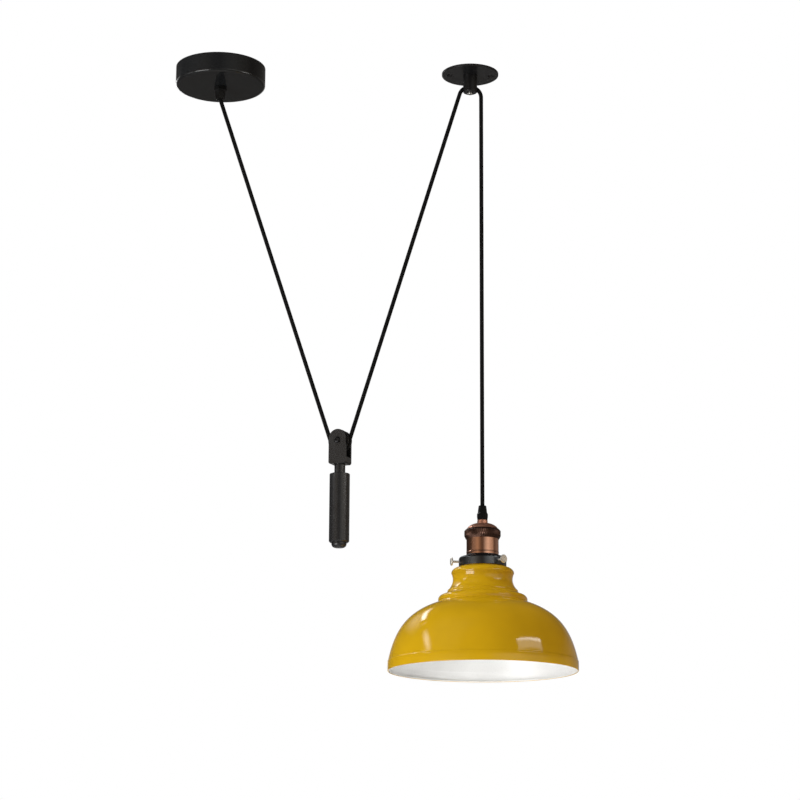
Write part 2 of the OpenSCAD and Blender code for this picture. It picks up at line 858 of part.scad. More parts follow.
module holder_cap() {
    neck_top = -grip_foot_drop;
    dome = -cap_dome_drop;
    inner_r = cap_r - cap_wall;
    bore_r = spigot_d / 2 + slide_gap;
    rim = dome - 1.5;
    neck_lean = acos(cap_neck_r / cap_r);
    bore_lean = acos(bore_r / inner_r);
    color([0.66, 0.38, 0.26])
        at_lamp()
            rotate_extrude($fn = 96)
                polygon(concat([[bore_r, neck_top], [cap_neck_r - 0.4, neck_top],
                                [cap_neck_r, neck_top - 0.5]],
                               ellipse_arc(0, dome, cap_r, cap_dome_h, neck_lean, 0, 14),
                               [[cap_r, rim], [inner_r, rim]],
                               ellipse_arc(0, dome, inner_r, cap_dome_h - cap_wall,
                                           0, bore_lean, 14)));
}

module knurled_ring() {
    top = -ring_top_drop;
    bottom = top - ring_h;
    r = ring_d / 2;
    seat = -body_top_drop;
    cap_bore = cap_r + cord_gap;
    body_bore = holder_d / 2 + slide_gap;
    color([0.3, 0.17, 0.12])
        at_lamp()
            rotate_extrude($fn = 96)
                polygon([[cap_bore, top], [cap_bore + ring_lip, top],
                         [r, top - ring_top_bevel], [r, bottom + ring_foot_bevel],
                         [r - ring_foot_in, bottom], [body_bore, bottom],
                         [body_bore, seat], [cap_bore, seat]]);
}

module holder_body() {
    r = holder_d / 2;
    top = -body_top_drop;
    bottom = -body_bottom_drop;
    bead = bottom + bead_rise;
    proud = r + bead_proud;
    color([0.66, 0.38, 0.26])
        at_lamp()
            rotate_extrude($fn = 96)
                polygon(concat([[r - body_wall, bottom], [r, bottom]],
                               [[r, bead - bead_half_h], [proud, bead - bead_proud],
                                [proud, bead + bead_proud], [r, bead + bead_half_h]],
                               [[r, top], [r - body_wall, top]]));
}

module socket_insulator() {
    top = insulator_top_drop;
    color([0.1, 0.1, 0.1])
        at_lamp()
            difference() {
                union() {
                    drop_cylinder(top, body_bottom_drop - top, insulator_r);
                    drop_cylinder(body_bottom_drop - 1,
                                  insulator_bottom_drop - body_bottom_drop + 1,
                                  insulator_neck_r);
                }
                drop_cylinder(shell_top_drop, insulator_bottom_drop, cavity_r);
                for (side = [-1, 1])
                    translate([side * terminal_x, 0, -top - socket_screw_in - 0.2])
                        cylinder(h = socket_screw_in + 1, r = socket_screw_r + slide_gap);
            }
}

module screw_shell() {
    top = -shell_top_drop;
    seat = top - shell_seat_h;
    bottom = -shell_bottom_drop;
    inner_r = socket_d / 2;
    outer_r = inner_r + shell_wall;
    color([0.8, 0.63, 0.33])
        at_lamp()
            rotate_extrude($fn = 96)
                polygon([[shell_seat_r, top], [outer_r, top], [outer_r, bottom],
                         [inner_r, bottom], [inner_r, seat], [shell_seat_r, seat]]);
}

module centre_contact() {
    color([0.8, 0.63, 0.33])
        at_lamp() {
            translate([-contact_l / 2, -contact_w / 2, -shell_top_drop - contact_t])
                cube([contact_l, contact_w, contact_t]);
            drop_cylinder(shell_top_drop + 0.1, contact_pad_h, contact_pad_r);
        }
}

module socket_terminal_screws() {
    color([0.78, 0.62, 0.3])
        at_lamp()
            for (side = [-1, 1])
                translate([side * terminal_x, 0, -insulator_top_drop])
                    difference() {
                        union() {
                            translate([0, 0, -socket_screw_in])
                                cylinder(h = socket_screw_in + 1, r = socket_screw_r);
                            cylinder(h = socket_screw_head_h, r = socket_screw_head_r);
                        }
                        translate([0, 0, socket_screw_head_h])
                            cube([6, screw_slot, 1.6], center = true);
                    }
}

module shade_gallery() {
    r = gallery_d / 2;
    neck_r = gallery_neck_r;
    top = -gallery_top_drop;
    shelf = top - gallery_neck_h;
    bottom = -gallery_bottom_drop;
    corner_x = r - gallery_corner_r;
    corner_z = shelf - gallery_corner_r;
    w = gallery_wall;
    color([0.2, 0.22, 0.23])
        at_lamp()
            difference() {
                rotate_extrude($fn = 96)
                    polygon(concat([[gallery_hole_r, top], [neck_r, top],
                                    [neck_r + gallery_step_w, top - gallery_step_h],
                                    [neck_r + gallery_neck_foot, shelf]],
                                   arc(corner_x, corner_z, gallery_corner_r, 90, 0),
                                   [[r, bottom], [r - w, bottom]],
                                   arc(corner_x, corner_z, gallery_corner_r - w, 0, 90),
                                   [[neck_r + 0.4, shelf - w], [neck_r - w / 2, top - w],
                                    [gallery_hole_r, top - w]]));
                for (i = [0 : 2])
                    thumb_frame(i)
                        translate([0, 0, r - w - 1])
                            cylinder(h = w + 2, d = thumb_stem_d + 2 * slide_gap);
            }
}

module gallery_ring() {
    top = gallery_top_drop + gallery_wall + slide_gap;
    color([0.1, 0.1, 0.1])
        at_lamp()
            difference() {
                drop_cylinder(top, gallery_ring_h, gallery_ring_r);
                drop_cylinder(top - 1, gallery_ring_h + 2, insulator_neck_r + slide_gap);
                for (a = [0 : 60 : 300])
                    rotate([0, 0, a])
                        translate([gallery_ring_r, 0, -top - gallery_ring_h])
                            cube([spanner_notch, spanner_notch_w, spanner_notch],
                                 center = true);
            }
}

// Frame of thumb screw i, with Z pointing out along the screw
module thumb_frame(i) {
    translate([0, 0, -thumb_drop])
        rotate([0, 0, thumb_azimuth + 120 * i]) rotate([0, 90, 0]) children();
}

module thumb_screw(i) {
    r = thumb_d / 2;
    edge = thumb_edge;
    color([0.82, 0.76, 0.6])
        at_lamp()
            thumb_frame(i) {
                translate([0, 0, thumb_tip_r])
                    cylinder(h = thumb_face_r - thumb_tip_r + 0.5, d = thumb_stem_d);
                translate([0, 0, thumb_face_r])
                    rotate_extrude()
                        polygon([[0, 0], [r - edge, 0], [r, edge], [r, thumb_t - edge],
                                 [r - edge, thumb_t], [0, thumb_t]]);
            }
}

module thumb_screw_1() { thumb_screw(0); }
module thumb_screw_2() { thumb_screw(1); }
module thumb_screw_3() { thumb_screw(2); }

// ---- Shade ----

// Outline of the shade's outer face, from the neck's top down to the rim band
function shade_outline() =
    let (neck_r = neck_d / 2,
         shoulder_r = shoulder_d / 2,
         waist_r = waist_d / 2,
         upper_r = upper_step_d / 2,
         lower_r = lower_step_d / 2,
         band_r = shade_d / 2 - band_proud,
         fillet_centre = [lower_r + dome_fillet,
                          dome_fillet * cos(dome_end_lean) - dome_top_drop],
         fillet_end = 270 - dome_end_lean,
         dome_top = fillet_centre + dome_fillet * [cos(fillet_end), sin(fillet_end)],
         dome_foot = [band_r, -band_drop],
         foot_pull = dome_start_pull * [-sin(dome_start_lean), cos(dome_start_lean)],
         top_pull = dome_end_pull * [cos(dome_end_lean), -sin(dome_end_lean)],
         waist_span = waist_drop - shoulder_drop)
    concat(
        [[neck_r, -neck_top_drop], [neck_r, -neck_foot_drop]],
        arc(neck_r + neck_fillet, -neck_foot_drop, neck_fillet, 180, 270, 4),
        ellipse_arc(shoulder_r - shoulder_depth, -shoulder_drop,
                    shoulder_depth, shoulder_rise, 80, 0, 10),
        [for (i = [1 : 9]) let (z = shoulder_drop + i * waist_step,
                                s = (z - waist_drop) / waist_span)
            [waist_r + (shoulder_r - waist_r) * s * s, -z]],
        arc(upper_r - upper_step_r, -upper_step_drop, upper_step_r, 70, 0, 5),
        [[upper_r + ledge, -upper_step_drop - ledge_drop]],
        arc(lower_r - lower_step_r, -lower_step_drop, lower_step_r, 82, 0, 7),
        arc(fillet_centre.x, fillet_centre.y, dome_fillet, 180, fillet_end - 10, 4),
        bezier(dome_top, dome_top + top_pull, dome_foot + foot_pull, dome_foot));

module shade() {
    outside = shade_outline();
    inside = inset(outside, shade_wall);
    rim_r = shade_d / 2;
    rim = -rim_drop;
    band = -band_drop;
    color([0.8, 0.6, 0.05])
        at_lamp()
            rotate_extrude($fn = 160)
                polygon(concat(outside,
                               [[rim_r, band - band_proud], [rim_r, rim + rim_edge],
                                [rim_r - rim_edge, rim], [rim_r - hem_wall, rim],
                                [rim_r - hem_wall, rim + hem_h],
                                [rim_r - shade_wall, rim + hem_h]],
                               [[rim_r - shade_wall, band - 1]],
                               reversed(inside)));
}

rose_cover();
rose_bracket();
rose_side_screws();
terminal_block();
terminal_screws();
rose_cord_grip();
rose_grip_nut();
ceiling_plate();
plate_boss();
boss_fixing_screw();
cord_clamp_screw();
cord_tail_in_rose();
cord_left_leg();
cord_sheave_wrap();
cord_right_leg();
cord_over_boss();
cord_lamp_drop();
cord_tail_in_lamp();
yoke();
sheave();
sheave_bush();
axle_bolt();
axle_nut();
axle_washers();
stem();
weight_cylinder();
weight_end_cap();
lamp_cord_grip();
holder_cap();
knurled_ring();
holder_body();
socket_insulator();
screw_shell();
centre_contact();
socket_terminal_screws();
shade_gallery();
gallery_ring();
thumb_screw_1();
thumb_screw_2();
thumb_screw_3();
shade();
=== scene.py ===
"""Looks of the rise and fall pendant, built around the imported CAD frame.

Lengths of the object are millimetres until they become vertices, which are metres in the
frame's own axes: origin at the centre of the rose's ceiling face, +Z up, +X towards the
lamp. Lights, floor and textures are in metres throughout.
"""
import math

import bmesh
import bpy
from mathutils import Matrix, Quaternion, Vector


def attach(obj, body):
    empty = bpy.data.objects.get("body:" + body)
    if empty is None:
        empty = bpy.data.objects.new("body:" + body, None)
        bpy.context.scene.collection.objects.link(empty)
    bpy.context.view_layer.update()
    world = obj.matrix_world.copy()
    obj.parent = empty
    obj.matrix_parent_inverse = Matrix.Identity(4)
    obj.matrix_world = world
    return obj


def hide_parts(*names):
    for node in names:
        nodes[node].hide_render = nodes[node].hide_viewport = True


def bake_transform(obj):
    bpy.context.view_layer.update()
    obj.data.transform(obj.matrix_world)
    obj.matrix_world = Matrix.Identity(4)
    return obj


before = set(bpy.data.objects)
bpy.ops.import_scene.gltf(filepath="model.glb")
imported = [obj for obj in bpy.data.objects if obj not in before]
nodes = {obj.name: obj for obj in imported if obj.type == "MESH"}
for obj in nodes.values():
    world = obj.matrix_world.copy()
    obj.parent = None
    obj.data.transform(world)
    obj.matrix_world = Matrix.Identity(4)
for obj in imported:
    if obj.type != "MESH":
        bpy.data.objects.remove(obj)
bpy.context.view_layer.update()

MM = 0.001

# ---------------------------------------------------------------- places, as in the CAD
PLATE_X = 348.0          # middle of the ceiling plate and its boss
BEND_R = 15.3            # centre line of the cord over the boss
BEND_Z = -34.7
LAMP_X = PLATE_X + BEND_R
BLOCK_X = 172.0          # pulley block
BLOCK_YAW = math.radians(26)
AXLE_Z = -529.0
PITCH_R = 13.0           # centre line of the cord on the pulley
CORD_D = 5.6
ANCHOR_Z = -45.0         # foot of the rose's cord grip
LAMP_GRIP_Z = -614.5     # top of the lamp's cord grip

# ---------------------------------------------------------------- how the cord is drawn
CORD_SIDES = 24
RUN_POINTS = 72          # along each straight run
WRAP_POINTS = 24         # round the pulley
BEND_POINTS = 30         # over the boss


# ---------------------------------------------------------------- camera
def make_camera():
    """A long lens below and in front of the pendant, tilted up, as in the photograph."""
    spot = Vector((119.5, -3026.7, -1196.5)) * MM
    heading = math.radians(2.51)
    tilt = math.radians(13.47)
    roll = math.radians(0.3)
    data = bpy.data.cameras.new("camera")
    data.sensor_width = 36.0
    data.lens = 103.79
    data.clip_end = 100.0
    cam = bpy.data.objects.new("camera", data)
    cam.matrix_world = (Matrix.Translation(spot) @ Matrix.Rotation(-heading, 4, "Z")
                        @ Matrix.Rotation(math.pi / 2 + tilt, 4, "X")
                        @ Matrix.Rotation(roll, 4, "Z"))
    bpy.context.scene.collection.objects.link(cam)
    bpy.context.scene.camera = cam


# ---------------------------------------------------------------- profiles
def ellipse(cx, cz, rx, rz, start, end, steps):
    """Points of an ellipse's arc in a lathe profile, angles in degrees."""
    turn = [math.radians(start + (end - start) * i / steps) for i in range(steps + 1)]
    return [(cx + rx * math.cos(a), cz + rz * math.sin(a)) for a in turn]


def arc(cx, cz, r, start, end, steps):
    return ellipse(cx, cz, r, r, start, end, steps)


def bezier(points, steps):
    """Points of a cubic curve from its two ends and the two handles between them."""
    p = [Vector(q) for q in points]
    out = []
    for i in range(steps + 1):
        t = i / steps
        u = 1 - t
        q = u ** 3 * p[0] + 3 * u * u * t * p[1] + 3 * u * t * t * p[2] + t ** 3 * p[3]
        out.append((q.x, q.y))
    return out


def inset(line, t):
    """The line moved by t to its right-hand side as it runs down, so inwards."""
    out = []
    for i, (x, z) in enumerate(line):
        ax, az = line[max(i - 1, 0)]
        bx, bz = line[min(i + 1, len(line) - 1)]
        dx, dz = bx - ax, bz - az
        n = math.hypot(dx, dz)
        out.append((x + t * dz / n, z - t * dx / n))
    return out


# ---------------------------------------------------------------- meshes
def link(name, mesh):
    piece = bpy.data.objects.new(name, mesh)
    bpy.context.scene.collection.objects.link(piece)
    return piece


def finish_mesh(bm, name, sharp):
    """Smooth-shaded object from bm, with edges sharper than that many degrees kept."""
    bmesh.ops.recalc_face_normals(bm, faces=bm.faces)
    mesh = bpy.data.meshes.new(name)
    bm.to_mesh(mesh)
    bm.free()
    mesh.shade_smooth()
    mesh.set_sharp_from_angle(angle=math.radians(sharp))
    return link(name, mesh)


def full_turn(count):
    return [2 * math.pi * k / count for k in range(count)]


def bridge(bm, ring, after):
    """Faces between two rings of vertices, in the order of their turn."""
    faces = []
    for k in range(len(ring)):
        m = (k + 1) % len(ring)
        faces.append(bm.faces.new((ring[k], ring[m], after[m], after[k])))
    return faces


def lathe(name, profile, x, segments, sharp, slots=None, radius=None):
    """Closed solid of revolution round a vertical axis at x from a closed profile of
    (radius, height). slots gives a material index for each stretch of the profile, and
    radius(r, angle) may change the radius round the turn, as knurling does."""
    bm = bmesh.new()
    rings = []
    for r, z in profile:
        ring = []
        for a in full_turn(segments):
            q = radius(r, a) if radius else r
            spot = (x + q * math.cos(a), q * math.sin(a), z)
            ring.append(bm.verts.new([length * MM for length in spot]))
        rings.append(ring)
    for i, ring in enumerate(rings):
        for face in bridge(bm, ring, rings[(i + 1) % len(rings)]):
            face.material_index = slots[i] if slots else 0
    return finish_mesh(bm, name, sharp)


def tube(name, path, r):
    """Round tube along a path of points in metres, with a UV map that runs along it: one
    unit of U a metre of length, and V once round."""
    bm = bmesh.new()
    uv = bm.loops.layers.uv.new("UVMap")
    side = Vector((0, 1, 0))
    rings = []
    run = [0.0]
    for i, p in enumerate(path):
        before = path[max(i - 1, 0)]
        after = path[min(i + 1, len(path) - 1)]
        along = (after - before).normalized()
        side = (side - along * side.dot(along)).normalized()
        up = along.cross(side)
        if i:
            run.append(run[-1] + (p - path[i - 1]).length)
        rings.append([bm.verts.new(p + r * (math.cos(t) * side + math.sin(t) * up))
                      for t in full_turn(CORD_SIDES)])
    for i in range(len(rings) - 1):
        near, far = run[i], run[i + 1]
        for k, face in enumerate(bridge(bm, rings[i], rings[i + 1])):
            places = ((near, k), (near, k + 1), (far, k + 1), (far, k))
            for loop, (u, v) in zip(face.loops, places):
                loop[uv].uv = (u, v / CORD_SIDES)
    bm.faces.new(rings[0])
    bm.faces.new(rings[-1])
    return finish_mesh(bm, name, sharp=60.0)


# ---------------------------------------------------------------- shader nodes
def shader(name, base, rough, metallic=0.0, **sockets):
    """A material whose Principled shader has these plain values; returns it, its node
    tree and the shader."""
    mat = bpy.data.materials.new(name)
    mat.use_nodes = True
    tree = mat.node_tree
    bsdf = tree.nodes["Principled BSDF"]
    bsdf.inputs["Base Color"].default_value = (*base, 1)
    bsdf.inputs["Roughness"].default_value = rough
    bsdf.inputs["Metallic"].default_value = metallic
    for socket, value in sockets.items():
        bsdf.inputs[socket.replace("_", " ")].default_value = value
    return mat, tree, bsdf


def add(tree, kind, **values):
    """A node with its inputs set by name, or its properties where it has no such input."""
    node = tree.nodes.new(kind)
    for key, value in values.items():
        label = key.replace("_", " ")
        if label in node.inputs:
            node.inputs[label].default_value = value
        else:
            setattr(node, key, value)
    return node


def feed(tree, socket, value):
    """Gives a socket a number, a colour or another node's output."""
    if isinstance(value, (int, float)):
        socket.default_value = value
    elif isinstance(value, tuple):
        socket.default_value = (*value, 1)
    else:
        tree.links.new(value, socket)


def place(tree, scale=(1, 1, 1), uv=False):
    """Coordinates in metres that stay with the piece, stretched by scale."""
    coords = add(tree, "ShaderNodeTexCoord")
    mapping = add(tree, "ShaderNodeMapping")
    mapping.inputs["Scale"].default_value = scale
    tree.links.new(coords.outputs["UV" if uv else "Object"], mapping.inputs["Vector"])
    return mapping.outputs["Vector"]


def noise(tree, vector, scale, detail):
    node = add(tree, "ShaderNodeTexNoise", Scale=scale, Detail=detail, Roughness=0.55)
    tree.links.new(vector, node.inputs["Vector"])
    return node.outputs["Fac"]


def remap(tree, value, low, high, out_low, out_high):
    node = add(tree, "ShaderNodeMapRange", From_Min=low, From_Max=high, To_Min=out_low,
               To_Max=out_high)
    tree.links.new(value, node.inputs["Value"])
    return node.outputs["Result"]


def math_node(tree, operation, *values):
    node = add(tree, "ShaderNodeMath", operation=operation)
    for socket, value in zip(node.inputs, values):
        feed(tree, socket, value)
    return node.outputs["Value"]


def tint(tree, factor, one, other):
    """A colour that runs from one to other with factor; each is a colour or an output."""
    node = add(tree, "ShaderNodeMix", data_type="RGBA")
    colours = [socket for socket in node.inputs if socket.type == "RGBA"]
    for socket, value in zip(colours, (one, other)):
        feed(tree, socket, value)
    tree.links.new(factor, node.inputs["Factor"])
    return next(socket for socket in node.outputs if socket.type == "RGBA")


def paint(tree, bsdf, value, low, high, one, other):
    """Base colour that goes from one to other as value goes from low to high."""
    colour = tint(tree, remap(tree, value, low, high, 0, 1), one, other)
    tree.links.new(colour, bsdf.inputs["Base Color"])


def dull(tree, bsdf, value, low, high, least, most):
    """Roughness that goes from least to most as value goes from low to high."""
    tree.links.new(remap(tree, value, low, high, least, most), bsdf.inputs["Roughness"])


def relief(tree, bsdf, height, distance):
    """Bump of that height in metres."""
    node = add(tree, "ShaderNodeBump", Strength=1.0, Distance=distance)
    tree.links.new(height, node.inputs["Height"])
    tree.links.new(node.outputs["Normal"], bsdf.inputs["Normal"])


def shift(colour, factor):
    """The colour made lighter or darker."""
    return tuple(min(1.0, c * factor) for c in colour)


# ---------------------------------------------------------------- materials
def enamel(name, base, rough, peel=0.00002):
    """Sprayed gloss enamel: faint orange peel, slow colour drift and a trace of dust."""
    mat, tree, bsdf = shader(name, base, rough)
    here = place(tree)
    drift = noise(tree, here, scale=18.0, detail=2.0)
    paint(tree, bsdf, drift, 0.3, 0.7, shift(base, 0.94), shift(base, 1.05))
    dust = noise(tree, here, scale=700.0, detail=4.0)
    dull(tree, bsdf, dust, 0.35, 0.75, rough * 0.8, rough * 1.7)
    relief(tree, bsdf, noise(tree, here, scale=260.0, detail=1.0), peel)
    return mat


def powder_coat(name, base, rough, grain=0.00003, **sockets):
    """Satin powder coat or moulded plastic: fine even grain with a patchy sheen."""
    mat, tree, bsdf = shader(name, base, rough, **sockets)
    here = place(tree)
    patch = noise(tree, here, scale=60.0, detail=3.0)
    paint(tree, bsdf, patch, 0.3, 0.7, shift(base, 0.9), shift(base, 1.12))
    dull(tree, bsdf, patch, 0.3, 0.7, rough * 0.88, rough * 1.14)
    relief(tree, bsdf, noise(tree, here, scale=2200.0, detail=2.0), grain)
    return mat


def turned_metal(name, base, rough, dark=0.75, metallic=1.0):
    """Polished or plated metal with fine turning lines round a vertical axis and a faint
    patina."""
    mat, tree, bsdf = shader(name, base, rough, metallic)
    patina = noise(tree, place(tree), scale=55.0, detail=5.0)
    paint(tree, bsdf, patina, 0.35, 0.72, base, shift(base, dark))
    dull(tree, bsdf, patina, 0.3, 0.75, rough * 0.85, rough * 1.5)
    round_turn, across_lines = 30, 5200
    turning = place(tree, (round_turn, round_turn, across_lines))
    relief(tree, bsdf, noise(tree, turning, scale=1.0, detail=3.0), 0.000006)
    return mat


def worn_metal(name, base, rough):
    """Plated or blackened steel with a fine irregular grain."""
    mat, tree, bsdf = shader(name, base, rough, metallic=1.0)
    here = place(tree)
    patch = noise(tree, here, scale=320.0, detail=4.0)
    paint(tree, bsdf, patch, 0.3, 0.75, base, shift(base, 0.7))
    dull(tree, bsdf, patch, 0.3, 0.75, rough * 0.8, rough * 1.5)
    relief(tree, bsdf, noise(tree, here, scale=2600.0, detail=2.0), 0.00001)
    return mat


def braid(name, base):
    """Braided textile: two sets of yarns that cross on the slant and pass over each other.
    U runs in metres along the cord and V once round it."""
    yarns_round = 12.0
    pitch = 0.0024
    crossing = 0.2
    fibre_height = 0.35
    depth = 0.0002
    mat, tree, bsdf = shader(name, base, 0.85, Sheen_Weight=0.03, Sheen_Roughness=0.4,
                             Specular_IOR_Level=0.2)
    coords = add(tree, "ShaderNodeTexCoord")
    split = add(tree, "ShaderNodeSeparateXYZ")
    tree.links.new(coords.outputs["UV"], split.inputs["Vector"])
    along = math_node(tree, "MULTIPLY", split.outputs["X"], 1.0 / pitch)
    around = math_node(tree, "MULTIPLY", split.outputs["Y"], yarns_round)
    right = math_node(tree, "ADD", around, along)
    left = math_node(tree, "SUBTRACT", around, along)
    ridges = []
    for slant in (right, left):
        turn = math_node(tree, "MULTIPLY", slant, 2 * math.pi)
        wave = math_node(tree, "COSINE", turn)
        ridges.append(math_node(tree, "MULTIPLY_ADD", wave, 0.5, 0.5))
    on_top = math_node(tree, "SINE", math_node(tree, "MULTIPLY", along, math.pi))
    weave = add(tree, "ShaderNodeMix")
    tree.links.new(remap(tree, on_top, -crossing, crossing, 0, 1), weave.inputs["Factor"])
    tree.links.new(ridges[0], weave.inputs["A"])
    tree.links.new(ridges[1], weave.inputs["B"])
    fibre = noise(tree, place(tree, (1600, 90, 1), uv=True), scale=1.0, detail=2.0)
    fuzz = math_node(tree, "MULTIPLY", fibre, fibre_height)
    height = math_node(tree, "ADD", weave.outputs["Result"], fuzz)
    relief(tree, bsdf, height, depth)
    # Colour follows the height: painted shade in the grooves between the yarns and a painted
    # highlight on their tops, with the fibres' random tone from the fuzz.
    paint(tree, bsdf, height, 0.2, 1.1, shift(base, 0.35), shift(base, 1.7))
    return mat


def make_materials():
    return {
        "rose": enamel("rose_enamel", (0.010, 0.011, 0.012), rough=0.13),
        "plate": powder_coat("plate_enamel", (0.008, 0.008, 0.009), rough=0.33,
                             grain=0.00001, Specular_IOR_Level=0.35),
        "weight": powder_coat("weight_paint", (0.014, 0.0145, 0.016), rough=0.28,
                              Specular_IOR_Level=0.6),
        "black_steel": worn_metal("black_steel", (0.05, 0.05, 0.052), rough=0.34),
        "zinc": worn_metal("zinc_steel", (0.72, 0.72, 0.70), rough=0.24),
        "sheave": powder_coat("sheave_nylon", (0.008, 0.008, 0.008), rough=0.4),
        "bronze": worn_metal("bush_bronze", (0.55, 0.36, 0.18), rough=0.4),
        "grip": powder_coat("grip_plastic", (0.004, 0.004, 0.004), rough=0.4,
                            grain=0.00001, Specular_IOR_Level=0.2),
        "block": powder_coat("block_plastic", (0.8, 0.8, 0.75), rough=0.45),
        "brass": turned_metal("brass", (0.80, 0.60, 0.28), rough=0.22),
        "cord": braid("cord_fabric", (0.003, 0.003, 0.0032)),
        "copper": turned_metal("copper", (0.74, 0.40, 0.27), rough=0.17, dark=0.8),
        "cap_copper": turned_metal("cap_copper", (0.78, 0.38, 0.26), rough=0.3, dark=0.7,
                                   metallic=0.85),
        "dark_copper": turned_metal("dark_copper", (0.125, 0.066, 0.048), rough=0.32,
                                    dark=0.6, metallic=0.9),
        "gunmetal": turned_metal("gunmetal", (0.13, 0.14, 0.15), rough=0.27, dark=0.8),
        "phenolic": powder_coat("phenolic", (0.018, 0.015, 0.013), rough=0.3),
        "nickel": turned_metal("nickel_brass", (0.93, 0.89, 0.81), rough=0.22, dark=0.9,
                               metallic=0.7),
        "mustard": enamel("shade_enamel", (0.63, 0.37, 0.006), rough=0.07),
        "white": enamel("shade_white", (0.84, 0.84, 0.83), rough=0.3, peel=0.00001),
    }


# ---------------------------------------------------------------- cords
def tangent_lean(dx, dz, r):
    """Lean from the vertical of a line that starts dx aside of and dz above a circle's
    middle and just touches the circle."""
    return math.atan(dx / dz) - math.asin(r / math.hypot(dx, dz))


def on_block(x, z):
    """A point of the pulley's plane, x along it and z above the axle, in millimetres."""
    return Vector((BLOCK_X + x * math.cos(BLOCK_YAW), -x * math.sin(BLOCK_YAW),
                   z + AXLE_Z))


def on_bend(angle):
    """A point of the cord's bend over the boss, in millimetres."""
    return Vector((PLATE_X + BEND_R * math.cos(angle), 0,
                   BEND_Z + BEND_R * math.sin(angle)))


def stretch(a, b, count):
    """Points in metres from a to b, given in millimetres, without b itself."""
    return [a.lerp(b, i / count) * MM for i in range(count)]


def make_cords(mat):
    """The cord runs taut from the rose, under the pulley, up over the bend in the boss and
    down to the lamp."""
    in_rose_grip, in_lamp_grip, above_lamp_grip = 3, 2, 0.3
    across = math.cos(BLOCK_YAW)
    left_lean = tangent_lean(BLOCK_X * across, ANCHOR_Z - AXLE_Z, PITCH_R)
    right_lean = tangent_lean((PLATE_X - BEND_R - BLOCK_X) * across, BEND_Z - AXLE_Z,
                              PITCH_R)
    left_touch = on_block(-PITCH_R * math.cos(left_lean), -PITCH_R * math.sin(left_lean))
    right_touch = on_block(PITCH_R * math.cos(right_lean), -PITCH_R * math.sin(right_lean))
    boss_lean = tangent_lean(PLATE_X - right_touch.x, BEND_Z - right_touch.z, BEND_R)
    bend_turn = math.pi - boss_lean
    wrap_start = math.pi + left_lean
    wrap_turn = math.pi - left_lean - right_lean
    wrap = [on_block(PITCH_R * math.cos(a), PITCH_R * math.sin(a)) * MM
            for a in (wrap_start + wrap_turn * i / WRAP_POINTS for i in range(WRAP_POINTS))]
    bend = [on_bend(bend_turn * (1 - i / BEND_POINTS)) * MM for i in range(BEND_POINTS + 1)]
    mouth = Vector((0, 0, ANCHOR_Z + in_rose_grip))
    anchor = Vector((0, 0, ANCHOR_Z))
    run = ([mouth * MM] + stretch(anchor, left_touch, RUN_POINTS) + wrap
           + stretch(right_touch, on_bend(bend_turn), RUN_POINTS) + bend)
    loop = tube("cord_run", run, CORD_D / 2 * MM)
    loop.data.materials.append(mat)
    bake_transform(loop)
    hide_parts("cord_left_leg", "cord_sheave_wrap", "cord_right_leg",
                "cord_over_boss")

    top = Vector((LAMP_X, 0, BEND_Z))
    foot = Vector((LAMP_X, 0, LAMP_GRIP_Z - in_lamp_grip))
    fall = stretch(top, foot, RUN_POINTS) + [foot * MM]
    drop = tube("cord_drop", fall, CORD_D / 2 * MM)
    drop.data.materials.append(mat)
    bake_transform(drop)
    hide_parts("cord_lamp_drop")


# ---------------------------------------------------------------- lamp pieces
def dress(piece, mats, body, node):
    """Gives a lathed piece its materials and its body, and hides the solid that it stands
    for.
    """
    for mat in mats:
        piece.data.materials.append(mat)
    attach(piece, body)
    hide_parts(node)


